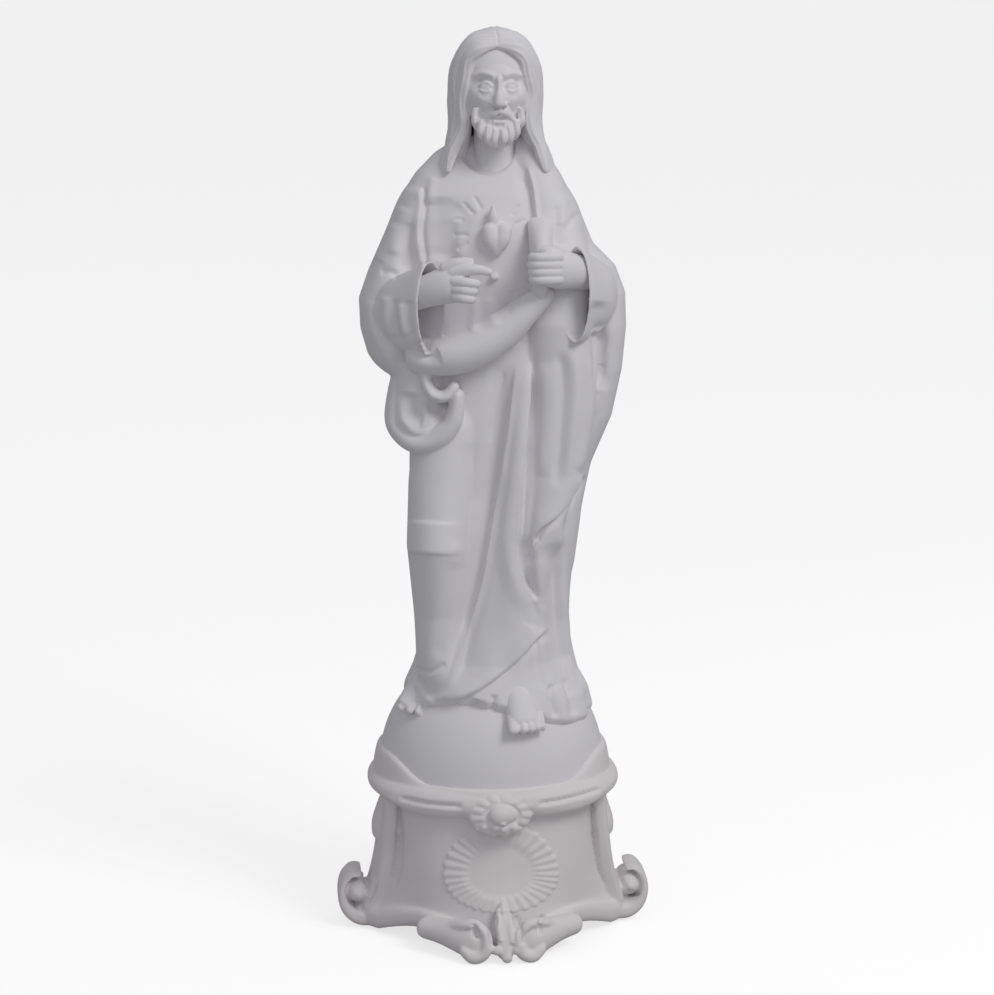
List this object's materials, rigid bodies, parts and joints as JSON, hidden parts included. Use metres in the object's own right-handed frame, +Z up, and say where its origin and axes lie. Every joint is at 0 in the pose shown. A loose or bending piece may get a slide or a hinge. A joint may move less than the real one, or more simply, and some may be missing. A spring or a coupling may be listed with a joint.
{
  "type": "religious figure statuette",
  "caption": "Standing robed devotional figure with a heart on the breast, on a half globe and a scrolled pedestal.",
  "frame": {"origin": "on the ground, under the middle of the pedestal, at the bottom centre of the bounding box", "axes": "+Z up along the figure, the front faces -Y, +X is on a viewer's right"},
  "size_m": [0.1334, 0.1198, 0.38],
  "materials": {
    "biscuit_white": "unglazed white biscuit porcelain, matte, slightly cool and faintly blotched",
    "biscuit_warm_white": "unglazed white biscuit porcelain, matte, with a faint warm tinge on the rim and the feet"
  },
  "bodies": {
    "root": {"figure_on_globe": "biscuit_white", "pedestal": "biscuit_warm_white"}
  },
  "joints": []
}
